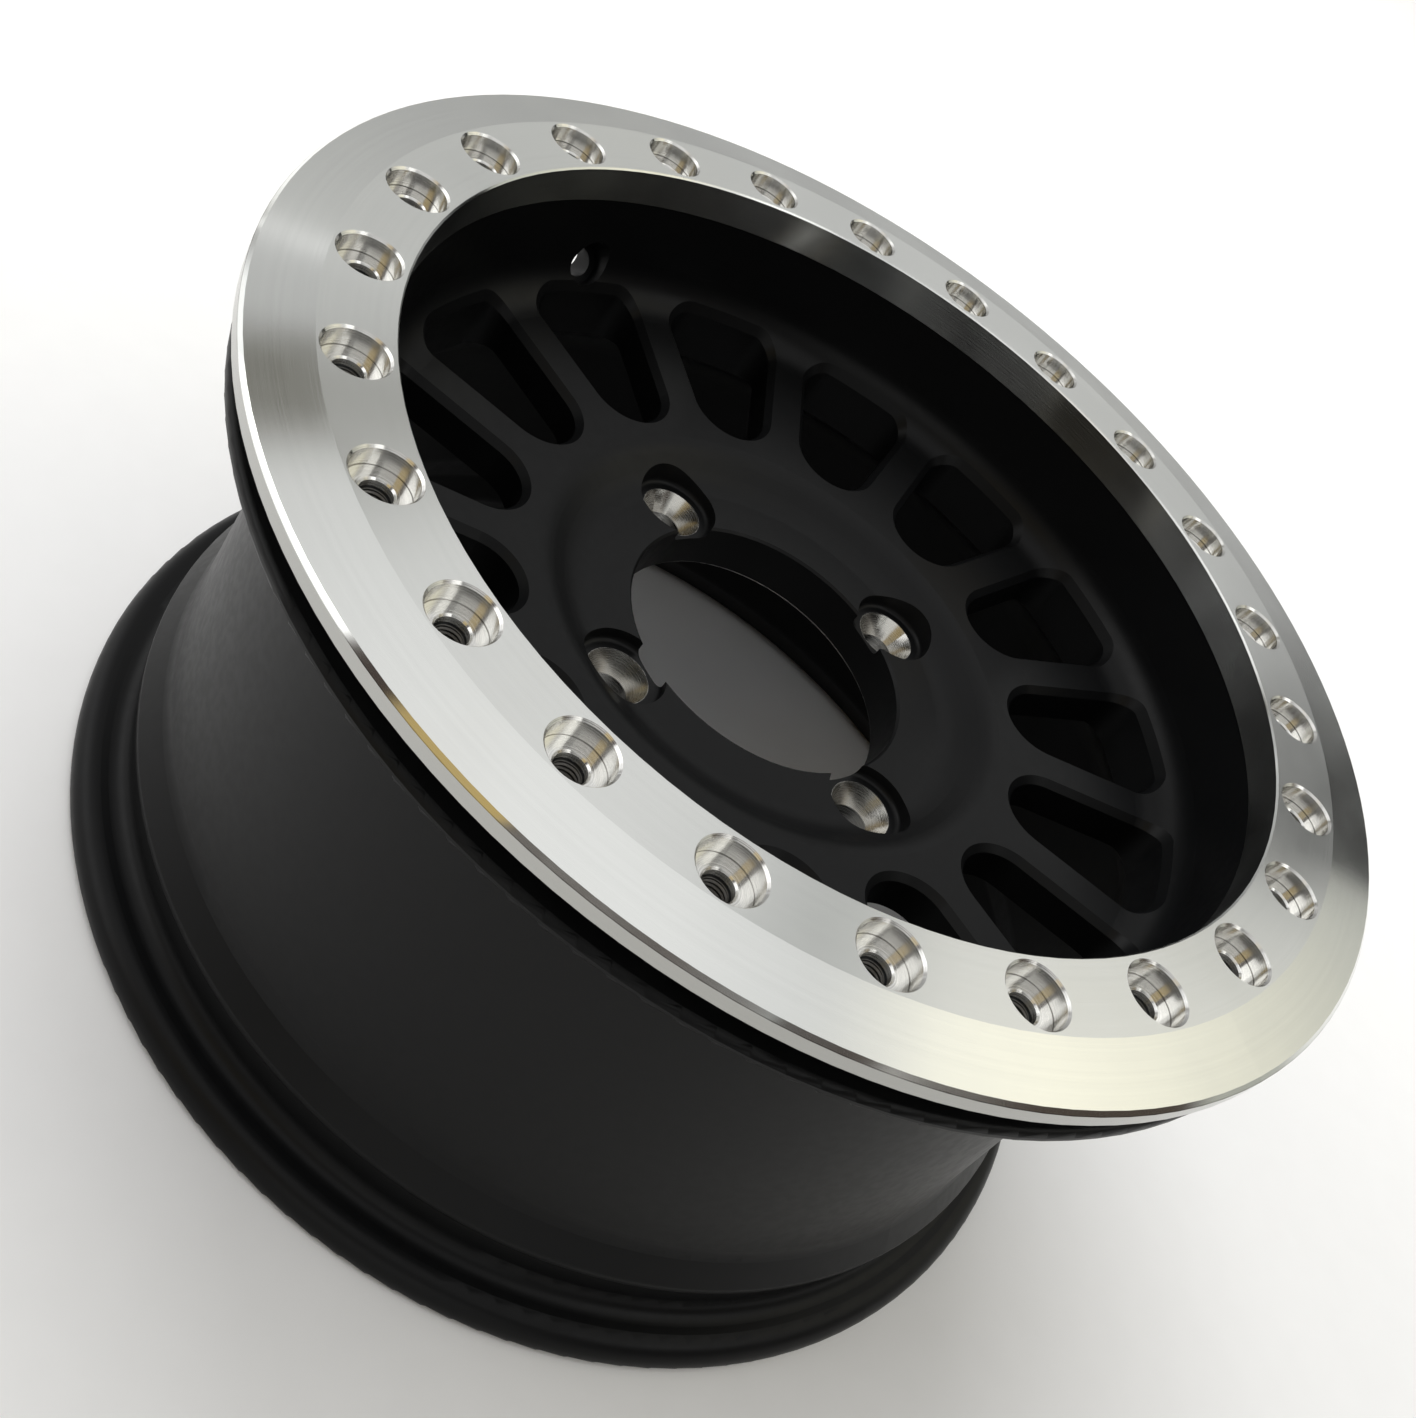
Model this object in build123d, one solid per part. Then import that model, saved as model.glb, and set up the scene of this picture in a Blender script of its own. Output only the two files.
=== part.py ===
from build123d import *
import os
from math import cos, radians, sin, sqrt, tan

# Beadlock wheel of a light off-road vehicle: a black one-piece spoked wheel, and the turned ring that
# clamps the tyre's outer bead against the wheel's front flange. Millimetres.
# The origin is the centre of the hub mounting face. +Z points out of the wheel's face, the wheel lies
# on its back flange, and the valve hole is on -X.

# Hub
BORE_RADIUS = 55.3
BORE_CHAMFER = 0.9
HUB_THICKNESS = 19.4
MOUNTING_FACE_RADIUS = 90.0
BOSS_FLARE = 7.0
BOSS_EDGE_ROUND = 1.5
BOSS_BLEND = 6.0

# Lugs: a pocket with a rounded floor, a conical nut seat and a stud hole each
LUG_COUNT = 4
LUG_CIRCLE_RADIUS = 68.5
STUD_HOLE_RADIUS = 7.25
SEAT_WIDTH = 4.5
SEAT_HALF_ANGLE = 30.0
POCKET_FLOOR_WIDTH = 4.25
POCKET_FLOOR_ROUND = 2.0
POCKET_DEPTH = 5.4

# Spoked face: a shallow cone that rises from the hub's dish to the barrel, its back parallel to it
SPOKE_COUNT = 15
SPOKE_WIDTH = 18.0
SPOKE_THICKNESS = 16.0
FACE_INNER_RADIUS = 91.0
DISH_SLOPE_WIDTH = 13.0
DISH_DEPTH = 8.0
FACE_RISE = 7.1
DISH_BLEND = 20.0
SHOULDER_BLEND = 16.0
RIM_BLEND = 16.0
FACE_BACK_BLEND = 22.0

# Windows between the spokes
WINDOW_HUB_MARGIN = 12.0
WINDOW_RIM_MARGIN = 4.5
WINDOW_CORNER = 8.5
WINDOW_CHAMFER = 2.5

# Rim: the barrel between the two flanges
BEAD_SEAT_RADIUS = 190.1
RIM_WIDTH = 178.4
BACK_SPACING = 121.0
LAND_WIDTH = 22.1
LAND_EDGE_ROUND = 0.8
BEAD_SLOT = 11.7
BEAD_CORNER_ROUND = 2.0
FLANGE_RISE = 19.8
FLANGE_THICKNESS = 5.2
FLANGE_ROUND = 2.2
FLANGE_TAPER = 2.5
FLANGE_UNDERCUT = 18.0
BARREL_FRONT_DROP = 10.4
BARREL_BACK_DROP = 4.5
BARREL_WALL = 6.3
BARREL_FRONT_WALL = 7.6
BARREL_BLEND = 12.0

# Back bead seat, its hump and the back flange
BACK_SEAT_WIDTH = 18.0
SEAT_RISE = 1.0
SEAT_ROUND = 2.5
SEAT_CORNER_ROUND = 6.5
HUMP_RISE = 2.9
HUMP_FOOT = 3.5
HUMP_CREST = 2.5
HUMP_ROUND = 1.5
HUMP_FLARE = 12.0
BACK_FLANGE_RISE = 17.7
BACK_FLANGE_HEIGHT = 11.8
BACK_FLANGE_WIDTH = 14.8
BACK_FLANGE_ROUND = 8.0
BACK_EDGE_ROUND = 3.2
BACK_ROOT_HEIGHT = 4.0
BACK_BLEND = 8.0

# Clamp ring
RING_THICKNESS = 9.6
RING_OVERHANG = 2.7
RING_LIP = 0.3
RING_SLOPE_WIDTH = 20.4
RING_SLOPE_DROP = 3.5
RING_EDGE_CHAMFER = 1.3
RING_BORE_CHAMFER = 0.6
PILOT_DEPTH = 4.7
PILOT_WALL = 4.3
PILOT_CLEARANCE = 0.3

# Ring bolts: counterbored holes in the ring over tapped holes in the wheel
BOLT_COUNT = 24
BOLT_INSET = 9.6
COUNTERBORE_RADIUS = 10.2
COUNTERBORE_DEPTH = 6.9
COUNTERBORE_CHAMFER = 0.75
TAPPED_RADIUS = 4.3
TAPPED_DEPTH = 18.0
DRILL_POINT_ANGLE = 59.0
BOLT_CLEARANCE = 0.7
BOLT_HOLE_CHAMFER = 0.6

# Valve hole
VALVE_ANGLE = 180.0
VALVE_RISE = 11.5
VALVE_HOLE_RADIUS = 5.75
VALVE_SPOT_WIDTH = 2.85
VALVE_SPOT_DEPTH = 6.8
VALVE_TILT = 35.0

# How far a cutting tool passes the surface that it cuts
PASS = 1.0

# Heights, from the back plane to the ring's face
back_plane = -BACK_SPACING
back_flange_face = back_plane + BACK_FLANGE_HEIGHT
hump_foot = back_flange_face + BACK_SEAT_WIDTH - SEAT_ROUND
hump_crest = hump_foot + HUMP_FOOT
barrel_back = hump_crest + HUMP_CREST + HUMP_FLARE
face_inner_height = HUB_THICKNESS + DISH_DEPTH
face_outer_height = face_inner_height + FACE_RISE
flange_top = back_flange_face + RIM_WIDTH
flange_bottom = flange_top - FLANGE_THICKNESS
barrel_front = flange_bottom - FLANGE_TAPER
ring_seat = flange_top + BEAD_SLOT
ring_top = ring_seat + RING_THICKNESS
pilot_bottom = ring_seat - PILOT_DEPTH
pocket_floor = HUB_THICKNESS - POCKET_DEPTH

# Radii, from the lugs to the ring's rim
seat_radius = STUD_HOLE_RADIUS + SEAT_WIDTH
pocket_radius = seat_radius + POCKET_FLOOR_WIDTH
dish_radius = BEAD_SEAT_RADIUS - LAND_WIDTH
ring_bore_radius = dish_radius - RING_LIP
pilot_radius = ring_bore_radius + PILOT_WALL
bolt_circle_radius = BEAD_SEAT_RADIUS - BOLT_INSET
bolt_hole_radius = TAPPED_RADIUS + BOLT_CLEARANCE
barrel_front_radius = BEAD_SEAT_RADIUS - BARREL_FRONT_DROP
barrel_back_radius = BEAD_SEAT_RADIUS - BARREL_BACK_DROP
back_inner_radius = BEAD_SEAT_RADIUS - BARREL_WALL
back_flange_radius = BEAD_SEAT_RADIUS + BACK_FLANGE_RISE
flange_radius = BEAD_SEAT_RADIUS + FLANGE_RISE
ring_radius = flange_radius + RING_OVERHANG
window_inner_radius = FACE_INNER_RADIUS + WINDOW_HUB_MARGIN
window_outer_radius = dish_radius - WINDOW_RIM_MARGIN

half_pitch = radians(180 / SPOKE_COUNT)
upward = (Align.CENTER, Align.CENTER, Align.MIN)


def turned(profile):
    """A solid turned about Z from a list of (radius, height, corner rounding)."""
    outline = FilletPolyline(
        [(radius, height) for radius, height, rounding in profile],
        radius=[rounding for radius, height, rounding in profile],
        close=True,
    )
    return revolve(Plane.XZ * make_face(outline), Axis.Z)


def around(tool, count, circle_radius=0, start=0):
    """Copies of a tool, evenly spaced on a circle about Z."""
    return [
        Rot(0, 0, start + 360 / count * step) * Pos(circle_radius, 0, 0) * tool
        for step in range(count)
    ]


def barrel_radius(height):
    """The barrel's outside is a cone that widens towards the back."""
    share = (barrel_front - height) / (barrel_front - barrel_back)
    return barrel_front_radius + (barrel_back_radius - barrel_front_radius) * share


def spoke_back(radius):
    """The height of the spoked face's back, a cone parallel to its front."""
    rise = FACE_RISE * (radius - FACE_INNER_RADIUS) / (dish_radius - FACE_INNER_RADIUS)
    return face_inner_height + rise - SPOKE_THICKNESS


def wheel_blank():
    """The wheel before its holes: hub, dished face, barrel and both flanges as one turned section."""
    recess_radius = pilot_radius + PILOT_CLEARANCE
    recess_floor = pilot_bottom - PILOT_CLEARANCE
    boss_radius = MOUNTING_FACE_RADIUS + BOSS_FLARE
    inside_radius = barrel_radius(spoke_back(dish_radius)) - BARREL_FRONT_WALL
    return turned([
        (BORE_RADIUS, HUB_THICKNESS - BORE_CHAMFER, 0),
        (BORE_RADIUS + BORE_CHAMFER, HUB_THICKNESS, 0),
        (FACE_INNER_RADIUS - DISH_SLOPE_WIDTH, HUB_THICKNESS, DISH_BLEND),
        (FACE_INNER_RADIUS, face_inner_height, SHOULDER_BLEND),
        (dish_radius, face_outer_height, RIM_BLEND),
        (dish_radius, recess_floor, 0),
        (recess_radius, recess_floor, 0),
        (recess_radius, ring_seat, 0),
        (BEAD_SEAT_RADIUS, ring_seat, LAND_EDGE_ROUND),
        (BEAD_SEAT_RADIUS, flange_top, BEAD_CORNER_ROUND),
        (flange_radius, flange_top, FLANGE_ROUND),
        (flange_radius, flange_bottom, FLANGE_ROUND),
        (barrel_front_radius, barrel_front, FLANGE_UNDERCUT),
        (barrel_back_radius, barrel_back, BARREL_BLEND),
        (BEAD_SEAT_RADIUS + HUMP_RISE, hump_crest + HUMP_CREST, HUMP_ROUND),
        (BEAD_SEAT_RADIUS + HUMP_RISE, hump_crest, HUMP_ROUND),
        (BEAD_SEAT_RADIUS, hump_foot, SEAT_ROUND),
        (BEAD_SEAT_RADIUS + SEAT_RISE, back_flange_face, SEAT_CORNER_ROUND),
        (back_flange_radius, back_flange_face, BACK_FLANGE_ROUND),
        (back_flange_radius, back_plane, BACK_EDGE_ROUND),
        (back_flange_radius - BACK_FLANGE_WIDTH, back_plane, BACK_EDGE_ROUND),
        (back_inner_radius, back_flange_face + BACK_ROOT_HEIGHT, BACK_BLEND),
        (back_inner_radius, hump_crest, BACK_BLEND),
        (barrel_back_radius - BARREL_WALL, barrel_back, BARREL_BLEND),
        (inside_radius, spoke_back(inside_radius), FACE_BACK_BLEND),
        (boss_radius, spoke_back(boss_radius), BOSS_BLEND),
        (MOUNTING_FACE_RADIUS, 0, BOSS_EDGE_ROUND),
        (BORE_RADIUS + BORE_CHAMFER, 0, 0),
        (BORE_RADIUS, BORE_CHAMFER, 0),
    ])


def window_outline():
    """One window, centred on +X: sides parallel to the spokes beside it, a full round towards the hub,
    and a concentric outer end with rounded corners."""
    half_spoke = SPOKE_WIDTH / 2
    centre = (window_inner_radius - half_spoke) / (1 - sin(half_pitch))
    inner_round = centre - window_inner_radius
    tangent = (centre - inner_round * sin(half_pitch), inner_round * cos(half_pitch))
    # Each side runs half a spoke's width beside a radial line, so it meets the outer circle this far out
    reach = sqrt(window_outer_radius**2 - half_spoke**2)
    corner = (
        reach * cos(half_pitch) + half_spoke * sin(half_pitch),
        reach * sin(half_pitch) - half_spoke * cos(half_pitch),
    )
    face = make_face([
        ThreePointArc((tangent[0], -tangent[1]), (window_inner_radius, 0), tangent),
        Line(tangent, corner),
        ThreePointArc(corner, (window_outer_radius, 0), (corner[0], -corner[1])),
        Line((corner[0], -corner[1]), (tangent[0], -tangent[1])),
    ])
    return fillet(face.vertices().sort_by(Axis.X)[-2:], WINDOW_CORNER)


def window_cutter():
    """A straight opening through the spoked face."""
    return extrude(window_outline(), amount=face_outer_height + RIM_BLEND)


def lug_cutter():
    """A pocket, a nut seat and a stud hole, on Z."""
    seat_bottom = pocket_floor - SEAT_WIDTH / tan(radians(SEAT_HALF_ANGLE))
    return turned([
        (0, face_inner_height, 0),
        (pocket_radius, face_inner_height, 0),
        (pocket_radius, pocket_floor, POCKET_FLOOR_ROUND),
        (seat_radius, pocket_floor, 0),
        (STUD_HOLE_RADIUS, seat_bottom, 0),
        (STUD_HOLE_RADIUS, -PASS, 0),
        (0, -PASS, 0),
    ])


def tapped_cutter():
    """A blind hole under the ring's bolt hole, countersunk, with the drill's point at its floor."""
    floor = ring_seat - TAPPED_DEPTH
    return turned([
        (0, ring_seat + PASS, 0),
        (bolt_hole_radius, ring_seat + PASS, 0),
        (bolt_hole_radius, ring_seat, 0),
        (TAPPED_RADIUS, ring_seat - BOLT_CLEARANCE, 0),
        (TAPPED_RADIUS, floor, 0),
        (0, floor - TAPPED_RADIUS / tan(radians(DRILL_POINT_ANGLE)), 0),
    ])


def valve_cutter():
    """A hole drilled slantwise outwards and back through the dish wall, with a spot face inside."""
    tilt = radians(VALVE_TILT)
    wall = barrel_back_radius - dish_radius
    through = wall / cos(tilt) + VALVE_HOLE_RADIUS * tan(tilt) + PASS
    hole = Cylinder(VALVE_HOLE_RADIUS, through, align=upward)
    spot = Cylinder(VALVE_HOLE_RADIUS + VALVE_SPOT_WIDTH, through, align=upward)
    start = Pos(dish_radius, 0, face_outer_height + VALVE_RISE)
    place = Rot(0, 0, VALVE_ANGLE) * start * Rot(0, 90 + VALVE_TILT, 0)
    return place * (hole + Pos(0, 0, VALVE_SPOT_DEPTH - through) * spot)


def make_wheel():
    blank = wheel_blank()
    windows = around(window_cutter(), SPOKE_COUNT, start=VALVE_ANGLE)
    body = blank - windows
    # The windows' front edges are chamfered, their back edges stay sharp
    edges = new_edges(blank, *windows, combined=body)
    front = edges.filter_by_position(Axis.Z, face_inner_height, ring_seat)
    body = chamfer(front, WINDOW_CHAMFER)
    lugs = around(lug_cutter(), LUG_COUNT, LUG_CIRCLE_RADIUS)
    bolts = around(tapped_cutter(), BOLT_COUNT, bolt_circle_radius, 180 / BOLT_COUNT)
    return body - lugs - bolts - valve_cutter()


def make_ring():
    """A flat-faced ring with a sloping outer band, a pilot lip below and counterbored bolt holes."""
    slope_end = ring_top - RING_SLOPE_DROP
    blank = turned([
        (ring_bore_radius, ring_top - RING_BORE_CHAMFER, 0),
        (ring_bore_radius + RING_BORE_CHAMFER, ring_top, 0),
        (ring_radius - RING_SLOPE_WIDTH, ring_top, 0),
        (ring_radius - RING_EDGE_CHAMFER, slope_end, 0),
        (ring_radius, slope_end - RING_EDGE_CHAMFER, 0),
        (ring_radius, ring_seat, 0),
        (pilot_radius, ring_seat, 0),
        (pilot_radius, pilot_bottom, 0),
        (ring_bore_radius, pilot_bottom, 0),
    ])
    floor = ring_top - COUNTERBORE_DEPTH
    cutter = turned([
        (0, ring_top + PASS, 0),
        (COUNTERBORE_RADIUS + COUNTERBORE_CHAMFER, ring_top + PASS, 0),
        (COUNTERBORE_RADIUS + COUNTERBORE_CHAMFER, ring_top, 0),
        (COUNTERBORE_RADIUS, ring_top - COUNTERBORE_CHAMFER, 0),
        (COUNTERBORE_RADIUS, floor, 0),
        (bolt_hole_radius + BOLT_HOLE_CHAMFER, floor, 0),
        (bolt_hole_radius, floor - BOLT_HOLE_CHAMFER, 0),
        (bolt_hole_radius, ring_seat - PASS, 0),
        (0, ring_seat - PASS, 0),
    ])
    return blank - around(cutter, BOLT_COUNT, bolt_circle_radius, 180 / BOLT_COUNT)


os.makedirs("parts", exist_ok=True)
export_step(make_wheel(), "parts/wheel.step")
export_step(make_ring(), "parts/beadlock_ring.step")
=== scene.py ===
import bpy
from math import cos, pi, radians, sin
from mathutils import Matrix, Vector


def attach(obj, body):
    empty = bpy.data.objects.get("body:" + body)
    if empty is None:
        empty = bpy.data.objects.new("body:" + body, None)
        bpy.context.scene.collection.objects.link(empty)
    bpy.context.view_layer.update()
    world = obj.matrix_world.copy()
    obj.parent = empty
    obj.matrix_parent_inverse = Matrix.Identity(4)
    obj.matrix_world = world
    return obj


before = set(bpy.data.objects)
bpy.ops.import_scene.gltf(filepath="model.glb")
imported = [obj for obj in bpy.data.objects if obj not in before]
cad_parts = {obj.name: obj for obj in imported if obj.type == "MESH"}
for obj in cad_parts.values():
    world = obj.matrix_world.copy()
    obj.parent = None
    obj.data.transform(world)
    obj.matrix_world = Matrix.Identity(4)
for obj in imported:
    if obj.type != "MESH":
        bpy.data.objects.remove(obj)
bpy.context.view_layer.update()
scene = bpy.context.scene
scene.view_settings.view_transform = "Standard"


# The wheel is one aluminium casting, machined and then powder coated in satin black. Bare turned metal
# shows in the four conical nut seats and their stud holes, along the back edge of the hub bore and,
# duller, in the tapped holes of the bolt land.
LUG_CIRCLE = 0.0685
BOLT_CIRCLE = 0.1805
BOLT_COUNT = 24
COAT_DARK = (0.0032, 0.0034, 0.0037, 1)
COAT_PALE = (0.0052, 0.0054, 0.0058, 1)
COAT_ROUGHNESS = (0.36, 0.41)
COAT_SHINE = 0.16
COAT_PEEL_SCALE = 260.0
COAT_POWDER_SCALE = 1500.0
PEEL_SHARE = 0.6
POWDER_SHARE = 0.4
SEAT_EDGE = 0.01178
SEAT_EDGE_SOFT = 0.00006
SEAT_EDGE_WANDER = 0.0003
SEAT_EDGE_WANDER_SCALE = 900.0
SEAT_METAL = (0.70, 0.69, 0.66, 1)
SEAT_METAL_DULL = (0.50, 0.49, 0.46, 1)
SEAT_ROUGHNESS = (0.17, 0.30)
SEAT_GROOVES = 3200.0
BORE_EDGE = 0.0563
BORE_EDGE_HEIGHT = 0.00095
TAPPED_HOLE = 0.0045
TAPPED_FOOT = 0.0625
TAPPED_METAL = (0.13, 0.127, 0.12, 1)
TAPPED_ROUGHNESS = 0.55
WHEEL_RELIEF = 0.08
WHEEL_RELIEF_DEPTH = 0.00004


def new_material(name):
    """An empty node material, and its tree."""
    material = bpy.data.materials.new(name)
    material.use_nodes = True
    material.node_tree.nodes.clear()
    return material, material.node_tree


def put(tree, kind, sockets=None, **settings):
    """Add a node. A socket takes a constant, or the output that feeds it."""
    made = tree.nodes.new(kind)
    for name, value in settings.items():
        setattr(made, name, value)
    for name, value in (sockets or {}).items():
        if isinstance(value, bpy.types.NodeSocket):
            tree.links.new(value, made.inputs[name])
        else:
            made.inputs[name].default_value = value
    return made


def calc(tree, operation, *values):
    """The result of one sum."""
    return put(tree, "ShaderNodeMath", dict(enumerate(values)), operation=operation).outputs[0]


def ramp(tree, value, low, high, start=0.0, end=1.0):
    """A smooth change from start to end while a value goes from low to high."""
    return put(tree, "ShaderNodeMapRange", {
        "Value": value, "From Min": low, "From Max": high, "To Min": start, "To Max": end,
    }, interpolation_type="SMOOTHSTEP").outputs[0]


def rises(tree, value, place, soft):
    """0 below a place and 1 above it, with a soft edge."""
    return ramp(tree, value, place - soft, place + soft)


def falls(tree, value, place, soft):
    """1 below a place and 0 above it, with a soft edge."""
    return ramp(tree, value, place + soft, place - soft)


def grain(tree, where, scale, detail=2.0):
    """Noise in space, from 0 to 1."""
    return put(tree, "ShaderNodeTexNoise", {
        "Vector": where, "Scale": scale, "Detail": detail, "Roughness": 0.5,
    }).outputs[0]


def grooves(tree, distance, per_metre, detail=2.0):
    """Uneven tool marks that follow one distance, such as a radius."""
    return put(tree, "ShaderNodeTexNoise", {
        "W": distance, "Scale": per_metre, "Detail": detail, "Roughness": 0.6,
    }, noise_dimensions="1D").outputs[0]


def patchy(tree, noise, start=0.0, end=1.0, margin=0.3):
    """A change from start to end that follows a noise, and takes no notice of its margins."""
    return ramp(tree, noise, margin, 1.0 - margin, start, end)


def mix(tree, kind, share, first, second, slots):
    """A node that mixes two colours or numbers. Its slots are their places on the node."""
    mixed = put(tree, "ShaderNodeMix", {0: share}, data_type=kind)
    for slot, value in zip(slots, (first, second)):
        if isinstance(value, bpy.types.NodeSocket):
            tree.links.new(value, mixed.inputs[slot])
        else:
            mixed.inputs[slot].default_value = value
    return mixed


def tint(tree, share, first, second):
    """A colour between two."""
    return mix(tree, "RGBA", share, first, second, (6, 7)).outputs[2]


def between(tree, share, first, second):
    """A number between two."""
    return mix(tree, "FLOAT", share, first, second, (2, 3)).outputs[0]


def length(tree, along, across):
    """The distance that two sides at a right angle span."""
    return calc(tree, "SQRT", calc(tree, "ADD", calc(tree, "MULTIPLY", along, along),
                                   calc(tree, "MULTIPLY", across, across)))


def places(tree):
    """Where a point lies: its vector, x, y, z, and its distance from the wheel's axis."""
    where = put(tree, "ShaderNodeTexCoord").outputs["Object"]
    x, y, z = put(tree, "ShaderNodeSeparateXYZ", {"Vector": where}).outputs
    return where, x, y, z, length(tree, x, y)


def from_lug(tree, x, y):
    """The distance from the nearest of the four lug axes."""
    wide = calc(tree, "ABSOLUTE", x)
    deep = calc(tree, "ABSOLUTE", y)
    outward = calc(tree, "SUBTRACT", calc(tree, "MAXIMUM", wide, deep), LUG_CIRCLE)
    return length(tree, calc(tree, "MINIMUM", wide, deep), outward)


def bolt_offsets(tree, x, y, radius):
    """How far a point lies outwards and sideways of the nearest bolt's axis, each half a step off +X."""
    turn = calc(tree, "MULTIPLY", calc(tree, "ARCTAN2", y, x), BOLT_COUNT / (2 * pi))
    offset = calc(tree, "SUBTRACT", calc(tree, "FRACT", calc(tree, "ADD", turn, BOLT_COUNT)), 0.5)
    swing = calc(tree, "SINE", calc(tree, "MULTIPLY", offset, 2 * pi / BOLT_COUNT))
    return calc(tree, "SUBTRACT", radius, BOLT_CIRCLE), calc(tree, "MULTIPLY", radius, swing)


def from_bolt(tree, x, y, radius):
    """The distance from the nearest bolt's axis."""
    outward, across = bolt_offsets(tree, x, y, radius)
    return length(tree, across, outward)


def wheel_finish():
    """The coat, and the bare metal where it is cut away."""
    material, tree = new_material("black_coat")
    where, x, y, z, radius = places(tree)

    lug = from_lug(tree, x, y)
    wander = calc(tree, "SUBTRACT", grain(tree, where, SEAT_EDGE_WANDER_SCALE), 0.5)
    ragged = calc(tree, "ADD", lug, calc(tree, "MULTIPLY", wander, SEAT_EDGE_WANDER))
    seat = falls(tree, ragged, SEAT_EDGE, SEAT_EDGE_SOFT)
    low = calc(tree, "LESS_THAN", z, BORE_EDGE_HEIGHT)
    edge = calc(tree, "MULTIPLY", low, calc(tree, "LESS_THAN", radius, BORE_EDGE))
    turned = calc(tree, "MAXIMUM", seat, edge)
    tapped = calc(tree, "MULTIPLY", calc(tree, "LESS_THAN", from_bolt(tree, x, y, radius), TAPPED_HOLE),
                  calc(tree, "GREATER_THAN", z, TAPPED_FOOT))
    bare = calc(tree, "MAXIMUM", turned, tapped)

    peel = grain(tree, where, COAT_PEEL_SCALE)
    powder = grain(tree, where, COAT_POWDER_SCALE, 3.0)
    cut = grooves(tree, calc(tree, "ADD", lug, z), SEAT_GROOVES)
    coat = tint(tree, powder, COAT_DARK, COAT_PALE)
    metal = tint(tree, patchy(tree, cut), SEAT_METAL_DULL, SEAT_METAL)
    colour = tint(tree, tapped, tint(tree, turned, coat, metal), TAPPED_METAL)

    coat_roughness = patchy(tree, peel, *COAT_ROUGHNESS)
    metal_roughness = between(tree, tapped, patchy(tree, cut, *SEAT_ROUGHNESS), TAPPED_ROUGHNESS)
    coat_height = calc(tree, "ADD", calc(tree, "MULTIPLY", peel, PEEL_SHARE),
                       calc(tree, "MULTIPLY", powder, POWDER_SHARE))
    relief = put(tree, "ShaderNodeBump", {
        "Strength": WHEEL_RELIEF, "Distance": WHEEL_RELIEF_DEPTH,
        "Height": between(tree, bare, coat_height, cut),
    })
    shader = put(tree, "ShaderNodeBsdfPrincipled", {
        "Base Color": colour, "Metallic": bare,
        "Roughness": between(tree, bare, coat_roughness, metal_roughness),
        "Specular IOR Level": COAT_SHINE, "Normal": relief.outputs[0],
    })
    put(tree, "ShaderNodeOutputMaterial", {"Surface": shader.outputs[0]})
    return material


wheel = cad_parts["wheel"]
wheel.data.materials.clear()
wheel.data.materials.append(wheel_finish())


# The wheel's bolt land has a tapped blind hole under each hole of the ring. Its thread is cut in the
# bare metal, so each is a helical ridge that stands a little way in from the wall of its hole.
THREAD_PITCH = 0.0015
THREAD_WALL = 0.00436
THREAD_CREST = 0.00392
THREAD_FOOT_HALF = 0.42 * THREAD_PITCH
THREAD_CREST_HALF = 0.07 * THREAD_PITCH
THREAD_TOP = 0.0797
THREAD_TURNS = 10
THREAD_STEPS = 28
THREAD_METAL_DARK = (0.17, 0.165, 0.16, 1)
THREAD_METAL_PALE = (0.25, 0.24, 0.23, 1)
THREAD_ROUGHNESS = (0.5, 0.62)
THREAD_OIL_SCALE = 700.0
THREAD_GROOVES = 6000.0
THREAD_RELIEF = 0.2
THREAD_RELIEF_DEPTH = 0.00004


def thread_mesh():
    """The ridges of all the holes, as one mesh."""
    points = []
    faces = []
    profile = (
        (THREAD_WALL, THREAD_FOOT_HALF),
        (THREAD_CREST, THREAD_CREST_HALF),
        (THREAD_CREST, -THREAD_CREST_HALF),
        (THREAD_WALL, -THREAD_FOOT_HALF),
    )
    count = THREAD_TURNS * THREAD_STEPS + 1
    for number in range(BOLT_COUNT):
        turn = 2 * pi * (number + 0.5) / BOLT_COUNT
        centre_x = BOLT_CIRCLE * cos(turn)
        centre_y = BOLT_CIRCLE * sin(turn)
        first = len(points)
        for step in range(count):
            angle = 2 * pi * step / THREAD_STEPS
            middle = THREAD_TOP - THREAD_PITCH * step / THREAD_STEPS
            for reach, rise in profile:
                x = centre_x + reach * cos(angle)
                y = centre_y + reach * sin(angle)
                points.append((x, y, middle + rise))
        for step in range(count - 1):
            for corner in range(3):
                a = first + 4 * step + corner
                faces.append((a, a + 4, a + 5, a + 1))
        last = first + 4 * (count - 1)
        faces.append((first, first + 1, first + 2, first + 3))
        faces.append((last + 3, last + 2, last + 1, last))
    mesh = bpy.data.meshes.new("bolt_threads")
    mesh.from_pydata(points, [], faces)
    mesh.update()
    return mesh


def thread_finish():
    """Bare cut metal, dulled by oil."""
    material, tree = new_material("cut_thread")
    where, x, y, z, radius = places(tree)
    oil = grain(tree, where, THREAD_OIL_SCALE, 3.0)
    cut = grooves(tree, calc(tree, "ADD", from_bolt(tree, x, y, radius), z), THREAD_GROOVES)
    relief = put(tree, "ShaderNodeBump", {
        "Strength": THREAD_RELIEF, "Distance": THREAD_RELIEF_DEPTH, "Height": cut,
    })
    shader = put(tree, "ShaderNodeBsdfPrincipled", {
        "Base Color": tint(tree, oil, THREAD_METAL_DARK, THREAD_METAL_PALE), "Metallic": 1.0,
        "Roughness": patchy(tree, oil, *THREAD_ROUGHNESS), "Normal": relief.outputs[0],
    })
    put(tree, "ShaderNodeOutputMaterial", {"Surface": shader.outputs[0]})
    return material


threads = bpy.data.objects.new("bolt_threads", thread_mesh())
scene.collection.objects.link(threads)
threads.data.materials.append(thread_finish())
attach(threads, "root")


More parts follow.
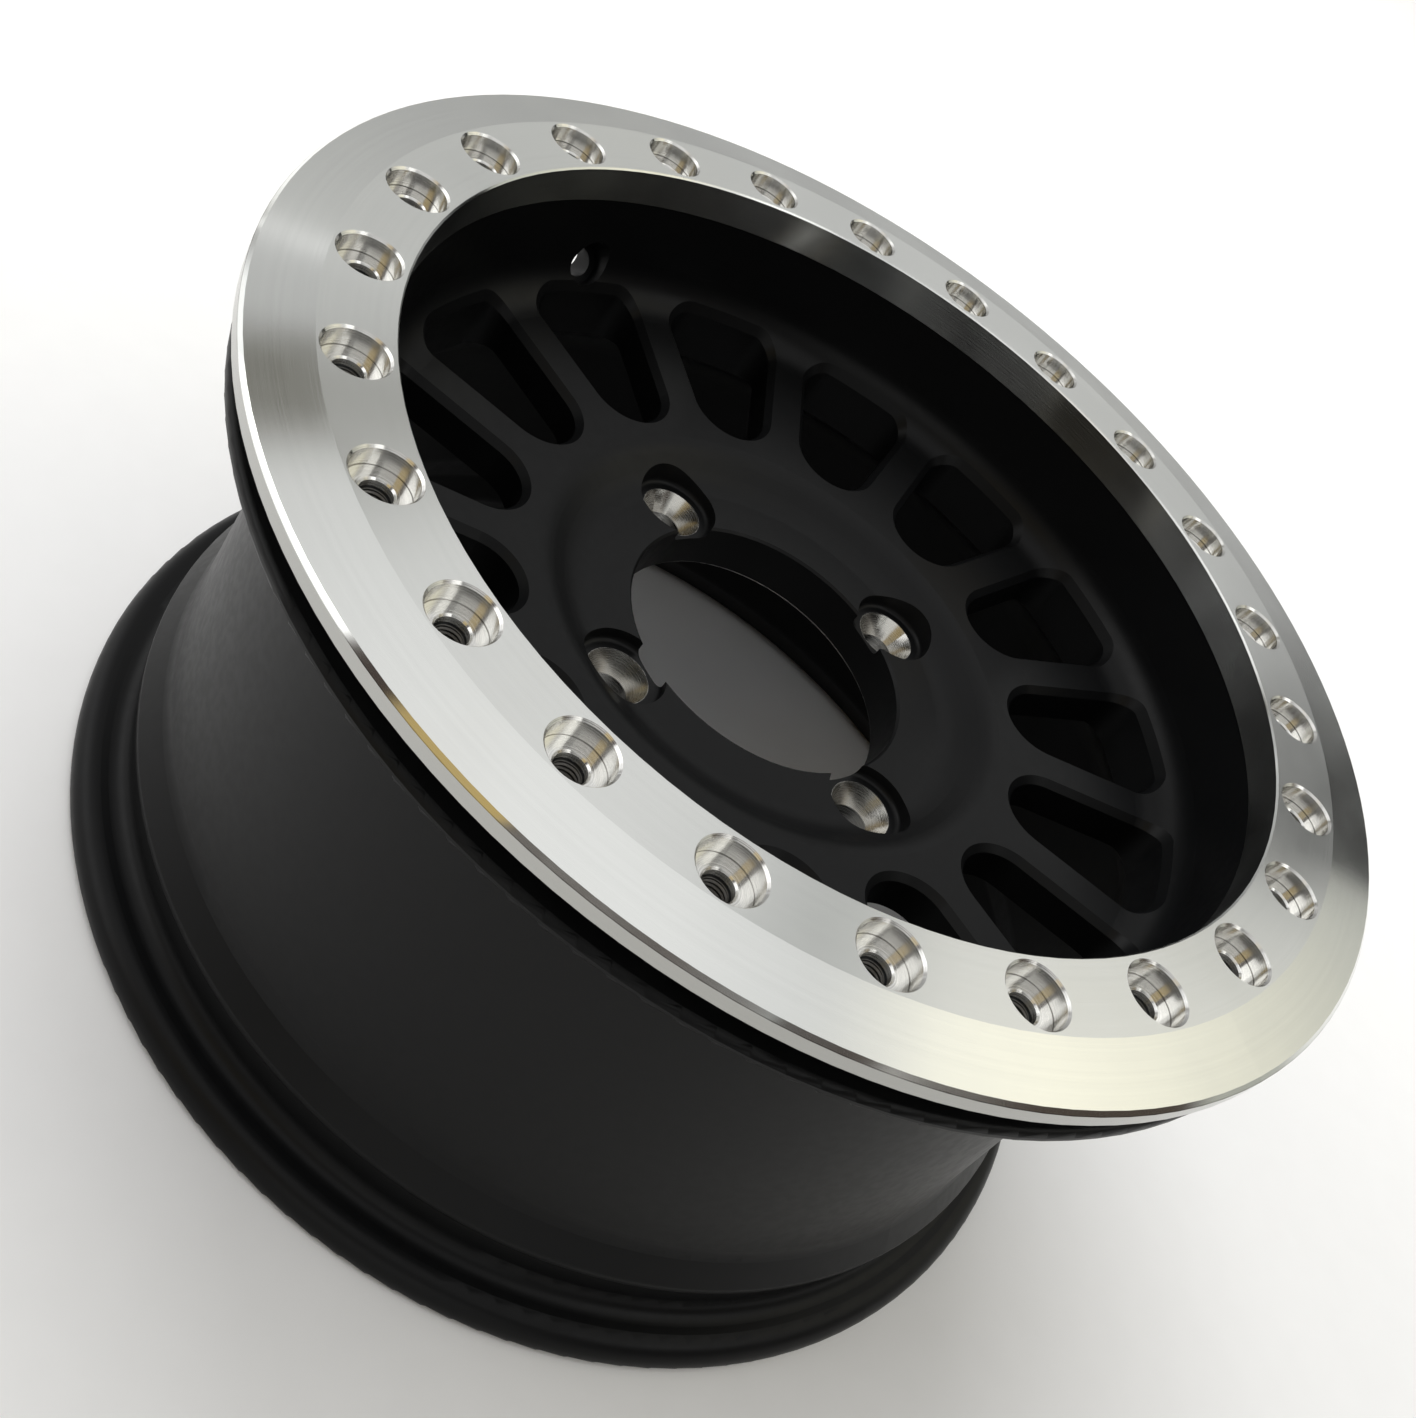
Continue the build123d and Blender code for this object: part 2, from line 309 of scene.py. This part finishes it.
# The clamp ring is turned from aluminium plate and left bare. Its face and its sloping outer band keep
# the lathe's fine rings, and the counterbores keep the cutter's circles on their walls and floors.
RING_METAL = (0.85, 0.86, 0.835, 1)
RING_METAL_DULL = (0.81, 0.82, 0.795, 1)
FACE_ROUGHNESS = (0.215, 0.25)
SLOPE_START = 0.1922
SLOPE_SOFT = 0.0002
SLOPE_ROUGHNESS = (0.195, 0.22)
BORE_BAND = 0.1680
BORE_BAND_SOFT = 0.0002
BORE_ROUGHNESS = (0.13, 0.20)
CHAMFER_START = 0.21125
CHAMFER_SOFT = 0.00005
CHAMFER_ROUGHNESS = 0.11
# The outer rim of the ring is painted darker: partly a duller turned edge, partly a painted reflection of
# dark surroundings that it mirrors
RIM_START = 0.2124
RIM_SOFT = 0.0001
RIM_DULL_METAL_AND_PAINTED_SHADE = (0.45, 0.45, 0.43, 1)
COUNTERBORE = 0.01102
COUNTERBORE_SOFT = 0.0001
COUNTERBORE_WALL = 0.0102
COUNTERBORE_FLOOR = 0.0836
COUNTERBORE_METAL = (0.86, 0.855, 0.83, 1)
COUNTERBORE_METAL_DULL = (0.72, 0.715, 0.69, 1)
COUNTERBORE_ROUGHNESS = (0.14, 0.22)
# A thin line of painted shade in the crease where each counterbore's wall meets its floor
CORNER_WIDTH = 0.00025
CORNER_SOFT = 0.0001
CORNER_PAINTED_SHADE = (0.42, 0.41, 0.39, 1)
BOLT_HOLE = 0.00495
BOLT_HOLE_SOFT = 0.00015
BOLT_HOLE_ROUGHNESS = 0.45
LATHE_GROOVES = 2600.0
COARSE_GROOVES = 500.0
CUTTER_GROOVES = 2600.0
CLOUD_SCALE = 28.0
CLOUD_DEPTH = 0.015
RING_RELIEF = 0.015
RING_RELIEF_DEPTH = 0.00002
STREAK = 1.0
QUARTER_TURN = 0.25


def tool_path(tree, x, y, radius, hole):
    """The way the tool went: round the wheel's axis, and round the bolt's axis in a hole."""
    outward, across = bolt_offsets(tree, x, y, radius)
    unit_x = calc(tree, "DIVIDE", x, radius)
    unit_y = calc(tree, "DIVIDE", y, radius)
    # In a hole the path is square to the offset from the bolt's axis, and elsewhere to the radius
    lead = between(tree, hole, 1.0, outward)
    side = between(tree, hole, 0.0, across)
    path_x = calc(tree, "SUBTRACT", calc(tree, "MULTIPLY", unit_x, calc(tree, "MULTIPLY", side, -1.0)),
                  calc(tree, "MULTIPLY", unit_y, lead))
    path_y = calc(tree, "SUBTRACT", calc(tree, "MULTIPLY", unit_x, lead),
                  calc(tree, "MULTIPLY", unit_y, side))
    return put(tree, "ShaderNodeCombineXYZ", {"X": path_x, "Y": path_y}).outputs[0]


def ring_finish():
    """Bare turned metal that streaks the light across the tool's path."""
    material, tree = new_material("turned_aluminium")
    where, x, y, z, radius = places(tree)

    bolt = from_bolt(tree, x, y, radius)
    hole = falls(tree, bolt, COUNTERBORE, COUNTERBORE_SOFT)
    bolt_hole = falls(tree, bolt, BOLT_HOLE, BOLT_HOLE_SOFT)
    slope = rises(tree, radius, SLOPE_START, SLOPE_SOFT)
    chamfer = rises(tree, radius, CHAMFER_START, CHAMFER_SOFT)
    shaded_rim = rises(tree, radius, RIM_START, RIM_SOFT)
    bore = falls(tree, radius, BORE_BAND, BORE_BAND_SOFT)
    above = calc(tree, "ABSOLUTE", calc(tree, "SUBTRACT", z, COUNTERBORE_FLOOR))
    beside = calc(tree, "ABSOLUTE", calc(tree, "SUBTRACT", bolt, COUNTERBORE_WALL))
    # The crease where a counterbore's wall meets its floor, which gets a line of painted shade
    corner = falls(tree, calc(tree, "ADD", above, beside), CORNER_WIDTH, CORNER_SOFT)

    lathe = grooves(tree, calc(tree, "ADD", radius, z), LATHE_GROOVES, 3.0)
    coarse = grooves(tree, calc(tree, "ADD", radius, z), COARSE_GROOVES)
    cutter = grooves(tree, calc(tree, "ADD", bolt, z), CUTTER_GROOVES)
    cloud = grain(tree, where, CLOUD_SCALE, 3.0)

    plain = tint(tree, coarse, RING_METAL_DULL, RING_METAL)
    # Darkens the outer rim: a duller turned edge, with painted shade for the dark surroundings that it
    # mirrors
    plain = tint(tree, shaded_rim, plain, RIM_DULL_METAL_AND_PAINTED_SHADE)
    bored = tint(tree, patchy(tree, cutter, margin=0.35), COUNTERBORE_METAL_DULL, COUNTERBORE_METAL)
    bored = tint(tree, corner, bored, CORNER_PAINTED_SHADE)
    colour = tint(tree, hole, plain, bored)

    roughness = between(tree, slope, patchy(tree, lathe, *FACE_ROUGHNESS),
                        patchy(tree, lathe, *SLOPE_ROUGHNESS))
    roughness = between(tree, bore, roughness, patchy(tree, lathe, *BORE_ROUGHNESS))
    roughness = between(tree, chamfer, roughness, CHAMFER_ROUGHNESS)
    hole_roughness = between(tree, bolt_hole, patchy(tree, cutter, *COUNTERBORE_ROUGHNESS),
                             BOLT_HOLE_ROUGHNESS)
    roughness = between(tree, hole, roughness, hole_roughness)
    roughness = calc(tree, "ADD", roughness, patchy(tree, cloud, -CLOUD_DEPTH, CLOUD_DEPTH, margin=0.35))

    relief = put(tree, "ShaderNodeBump", {
        "Strength": RING_RELIEF, "Distance": RING_RELIEF_DEPTH,
        "Height": between(tree, hole, lathe, cutter),
    })
    shader = put(tree, "ShaderNodeBsdfPrincipled", {
        "Base Color": colour, "Metallic": 1.0, "Roughness": roughness, "Normal": relief.outputs[0],
        "Anisotropic": STREAK, "Anisotropic Rotation": QUARTER_TURN,
        "Tangent": tool_path(tree, x, y, radius, hole),
    })
    put(tree, "ShaderNodeOutputMaterial", {"Surface": shader.outputs[0]})
    return material


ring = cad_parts["beadlock_ring"]
ring.data.materials.clear()
ring.data.materials.append(ring_finish())


# The floor is a pale, matt sheet of studio paper, rolled out flat and wide enough to fill the picture.
# The wheel's back flange lies on it.
FLOOR_HEIGHT = -0.121
FLOOR_HALF = 6.0
FLOOR_SHADE = (0.90, 0.90, 0.90, 1)
FLOOR_PALE = (0.93, 0.93, 0.93, 1)
FLOOR_FIBRE_SCALE = 60.0


def floor_finish():
    """Matt paper with a faint fibre."""
    material, tree = new_material("studio_sheet")
    where = put(tree, "ShaderNodeTexCoord").outputs["Object"]
    fibre = grain(tree, where, FLOOR_FIBRE_SCALE, 3.0)
    shader = put(tree, "ShaderNodeBsdfDiffuse", {"Color": tint(tree, fibre, FLOOR_SHADE, FLOOR_PALE)})
    put(tree, "ShaderNodeOutputMaterial", {"Surface": shader.outputs[0]})
    return material


floor_mesh = bpy.data.meshes.new("floor")
floor_mesh.from_pydata([
    (-FLOOR_HALF, -FLOOR_HALF, FLOOR_HEIGHT),
    (FLOOR_HALF, -FLOOR_HALF, FLOOR_HEIGHT),
    (FLOOR_HALF, FLOOR_HALF, FLOOR_HEIGHT),
    (-FLOOR_HALF, FLOOR_HALF, FLOOR_HEIGHT),
], [], [(0, 1, 2, 3)])
floor_mesh.materials.append(floor_finish())
floor = bpy.data.objects.new("floor", floor_mesh)
scene.collection.objects.link(floor)


# The light is a soft studio, painted on a dome in layers, each over the last: a pale ceiling, a dim near
# side, cards round the sides, and a grey sheet low on the far side with a panel and a dark gap at its
# left end. A broad lamp, high on the far left, lights the spokes and the floor.
FAR_SIDE = (-0.479, 0.878, 0.0)
LEFT_SIDE = (-0.878, -0.479, 0.0)

world = bpy.data.worlds.new("studio_dome")
world.use_nodes = True
scene.world = world
sky = world.node_tree
sky.nodes.clear()
toward = put(sky, "ShaderNodeTexCoord").outputs["Generated"]
climb = put(sky, "ShaderNodeSeparateXYZ", {"Vector": toward}).outputs[2]


def facing(direction):
    """How far a ray points along one direction: 1 is straight along it."""
    found = put(sky, "ShaderNodeVectorMath", {0: toward, 1: direction}, operation="DOT_PRODUCT")
    return found.outputs["Value"]


def inside(bearing, reach, soft):
    """1 inside a round patch, given its bearing in degrees, the cosine of its half width and its edge."""
    return rises(sky, facing((cos(radians(bearing)), sin(radians(bearing)), 0.0)), reach, soft)


def fade(value, ends):
    """A smooth change from nothing at the first end to full at the second."""
    return ramp(sky, value, *ends)


def both(mask, other):
    """The part that two masks share."""
    return calc(sky, "MULTIPLY", mask, other)


def either(mask, other):
    """The part that at least one of two masks covers."""
    return calc(sky, "MAXIMUM", mask, other)


def without(mask, other):
    """A mask less the part that another covers."""
    return both(mask, calc(sky, "SUBTRACT", 1.0, other))


def span(value, low, high, soft):
    """1 while a value is from low to high."""
    return both(rises(sky, value, low, soft), falls(sky, value, high, soft))


def hang(colour, cards):
    """A colour with cards hung in front of it, one after another."""
    for first, last, soft, low, high, card_colour in cards:
        card = both(span(turn, first, last, soft), span(climb, low, high, soft))
        colour = tint(sky, card, colour, card_colour)
    return colour


def glow(colour):
    """Light of one colour."""
    return put(sky, "ShaderNodeBackground", {"Color": colour, "Strength": 1.0}).outputs[0]


def choose(test, chosen, otherwise):
    """One light where a test is 1, another where it is 0. Only the one that counts is worked out."""
    return put(sky, "ShaderNodeMixShader", {0: test, 1: otherwise, 2: chosen}).outputs[0]


# A ray's turn is counted from the far side, to the left, in radians
ahead = facing(FAR_SIDE)
turn = calc(sky, "ARCTAN2", facing(LEFT_SIDE), ahead)

# The ceiling: its brightness at each climb, which is the sine of a ray's height
DOME_STEPS = ((0.0, 0.60), (0.63, 1.0), (0.80, 0.74), (0.92, 0.94), (1.0, 1.0))
dome = put(sky, "ShaderNodeValToRGB", {"Fac": climb})
stops = dome.color_ramp.elements
for step in DOME_STEPS[1:-1]:
    stops.new(step[0])
for stop, (_, level) in zip(stops, DOME_STEPS):
    stop.color = (level, level, level, 1)

# A grey stripe on the right, which lies on the far and on the near side
STRIPE = (0.36, 0.37, 0.36, 1)
STRIPE_PATCH = (38, 0.197, 0.05)
STRIPE_END_PATCH = (52, 0.455, 0.05)
STRIPE_TOP_FADE = (0.86, 0.74)
stripe = both(without(inside(*STRIPE_PATCH), inside(*STRIPE_END_PATCH)), fade(climb, STRIPE_TOP_FADE))

# The dim near side
NEAR_SHADE = (0.26, 0.24, 0.21, 1)
NEAR_FADE = (-0.15, -0.6)
NEAR_TOP_FADE = (0.9, 0.65)
near = both(fade(ahead, NEAR_FADE), fade(climb, NEAR_TOP_FADE))
near_colour = tint(sky, near, dome.outputs[0], NEAR_SHADE)
near_colour = tint(sky, stripe, near_colour, STRIPE)

# The narrow cards: first turn, last turn, soft edge, lowest climb, highest climb, colour
LEFT_STRIP = (1.15, 1.40, 0.05, 0.02, 0.62, (1.20, 1.20, 1.20, 1))
LEFT_CARDS = (
    LEFT_STRIP,
    # A brighter strip beside the first one, then a dark card and a golden one
    (1.40, 2.20, 0.05, 0.22, 0.64, (2.00, 2.00, 2.00, 1)),
    (2.20, 2.42, 0.04, 0.42, 0.80, (0.06, 0.045, 0.04, 1)),
    (2.42, 2.88, 0.05, 0.42, 0.80, (0.52, 0.38, 0.14, 1)),
    # A pale card low down on the near side, and a dark band over it
    (2.92, 3.3, 0.04, 0.15, 0.58, (1.00, 1.00, 0.98, 1)),
    (2.88, 3.3, 0.03, 0.63, 0.74, (0.05, 0.035, 0.03, 1)),
)
RIGHT_DARK = (-2.30, -1.28, 0.06, 0.05, 0.56, (0.07, 0.055, 0.045, 1))
RIGHT_CARDS = (
    # The other half of that pale card, and of its band
    (-3.3, -2.50, 0.04, 0.15, 0.57, (1.00, 1.00, 0.98, 1)),
    (-3.3, -2.45, 0.03, 0.61, 0.73, (0.05, 0.035, 0.03, 1)),
    (-2.45, -2.12, 0.03, 0.50, 0.67, (0.05, 0.035, 0.03, 1)),
    RIGHT_DARK,
    # A bright strip over the dark card
    (-2.06, -1.56, 0.05, 0.62, 0.80, (2.00, 2.00, 1.95, 1)),
)
near_left = hang(near_colour, LEFT_CARDS)
near_right = hang(near_colour, RIGHT_CARDS)

# The broad card on the right of the far side, brighter towards its top, and the cards that reach round
RIGHT_CARD_LOW = (0.42, 0.425, 0.38, 1)
RIGHT_CARD_HIGH = (1.30, 1.25, 1.04, 1)
RIGHT_CARD_BLEND = (0.15, 0.85)
RIGHT_CARD_FADE_IN = (-1.35, -1.25)
RIGHT_CARD_FADE_OUT = (-0.46, -0.56)
RIGHT_CARD_TOP_FADE = (0.90, 0.80)
right_card = tint(sky, fade(climb, RIGHT_CARD_BLEND), RIGHT_CARD_LOW, RIGHT_CARD_HIGH)
right_side = both(fade(turn, RIGHT_CARD_FADE_IN), fade(turn, RIGHT_CARD_FADE_OUT))
far = tint(sky, stripe, dome.outputs[0], STRIPE)
far = tint(sky, both(right_side, fade(climb, RIGHT_CARD_TOP_FADE)), far, right_card)
far = hang(far, (LEFT_STRIP, RIGHT_DARK))

# The dark gap at the sheet's left end, the panel that stands in it, and the bright line beside the sheet
LEFT_FADE_IN = (0.05, 0.15)
LEFT_FADE_OUT = (1.12, 1.02)
LEFT_GAP = (0.11, 0.103, 0.08, 1)
LEFT_GAP_PATCH = (160, 0.682, 0.03)
LEFT_GAP_LOW_PATCH = (178, 0.552, 0.03)
LEFT_GAP_LOW_FADE = (0.74, 0.66)
LEFT_PANEL = (0.53, 0.53, 0.53, 1)
LEFT_PANEL_PATCH = (154, 0.777, 0.018)
LEFT_LINE = (1.0, 1.0, 1.0, 1)
LEFT_LINE_PATCH = (143, 0.822, 0.006)
LEFT_LINE_FADE = (0.50, 0.55)
left_side = both(fade(turn, LEFT_FADE_IN), fade(turn, LEFT_FADE_OUT))
low_gap = both(inside(*LEFT_GAP_LOW_PATCH), fade(climb, LEFT_GAP_LOW_FADE))
left_gap = either(inside(*LEFT_GAP_PATCH), low_gap)
far = tint(sky, both(left_side, left_gap), far, LEFT_GAP)
far = tint(sky, both(left_side, inside(*LEFT_PANEL_PATCH)), far, LEFT_PANEL)
far = tint(sky, both(fade(turn, LEFT_LINE_FADE), inside(*LEFT_LINE_PATCH)), far, LEFT_LINE)

# The grey sheet on the far side, paler towards its top and dark at its right end
SHEET_LOW = (0.30, 0.30, 0.30, 1)
SHEET_HIGH = (0.64, 0.64, 0.63, 1)
SHEET_BLEND = (0.0, 0.65)
SHEET_DARK = (0.010, 0.010, 0.009, 1)
SHEET_PALE_PATCH = (155, 0.565, 0.10)
SHEET_LEFT_PATCH = (143, 0.839, 0.006)
SHEET_RIGHT_PATCH = (124, 0.773, 0.010)
SHEET_CORNER_PATCH = (114, 0.834, 0.006)
SHEET_CORNER_FADE = (0.37, 0.43)
SHEET_HALVES_FADE = (0.52, 0.48)
sheet_colour = tint(sky, fade(climb, SHEET_BLEND), SHEET_LOW, SHEET_HIGH)
sheet_colour = tint(sky, inside(*SHEET_PALE_PATCH), SHEET_DARK, sheet_colour)
sheet_corner = both(inside(*SHEET_CORNER_PATCH), fade(climb, SHEET_CORNER_FADE))
right_end = either(inside(*SHEET_RIGHT_PATCH), sheet_corner)
sheet = between(sky, fade(turn, SHEET_HALVES_FADE), inside(*SHEET_LEFT_PATCH), right_end)
far = tint(sky, sheet, far, sheet_colour)

# The ceiling is bare above every layer, and each part has only the layers that reach into it
CEILING_START = 0.9
FAR_START = RIGHT_CARD_FADE_IN[0]
FAR_END = LEFT_FADE_OUT[0]
on_ceiling = calc(sky, "GREATER_THAN", climb, CEILING_START)
on_far_side = both(calc(sky, "GREATER_THAN", turn, FAR_START), calc(sky, "LESS_THAN", turn, FAR_END))
on_left = calc(sky, "GREATER_THAN", turn, 0.0)
walls = choose(on_far_side, glow(far), choose(on_left, glow(near_left), glow(near_right)))
studio = choose(on_ceiling, glow(dome.outputs[0]), walls)
put(sky, "ShaderNodeOutputWorld", {"Surface": studio})

# The lamp is turned to the middle of the wheel, and the metal doesn't mirror it
PANEL_SIDE = 2.2
PANEL_WATTS = 54.0
PANEL_PLACE = (-1.80, 0.95, 2.20)
panel_light = bpy.data.lights.new("overhead_panel", "AREA")
panel_light.shape = "RECTANGLE"
panel_light.size = PANEL_SIDE
panel_light.size_y = PANEL_SIDE
panel_light.energy = PANEL_WATTS
panel = bpy.data.objects.new("overhead_panel", panel_light)
panel.location = PANEL_PLACE
panel.visible_glossy = False
panel.rotation_euler = (Vector((0, 0, 0)) - panel.location).to_track_quat("-Z", "Y").to_euler()
scene.collection.objects.link(panel)


# The camera stands in front of and above the wheel and is tipped to one side. Its place, tilt and lens
# were worked out from where the ring's holes lie in the photograph.
CAMERA_PLACE = (0.2248, -0.4159, 0.3676)
CAMERA_RIGHT = (0.48347, 0.72499, 0.49056)
CAMERA_UP = (-0.79307, 0.12556, 0.59605)
CAMERA_LENS = 41.54
CAMERA_NEAREST = 0.01

lens = bpy.data.cameras.new("camera")
lens.lens = CAMERA_LENS
lens.clip_start = CAMERA_NEAREST
right = Vector(CAMERA_RIGHT).normalized()
up = Vector(CAMERA_UP)
up = (up - right * up.dot(right)).normalized()
back = right.cross(up)
camera = bpy.data.objects.new("camera", lens)
camera.matrix_world = Matrix((
    (right.x, up.x, back.x, CAMERA_PLACE[0]),
    (right.y, up.y, back.y, CAMERA_PLACE[1]),
    (right.z, up.z, back.z, CAMERA_PLACE[2]),
    (0, 0, 0, 1),
))
scene.collection.objects.link(camera)
scene.camera = camera
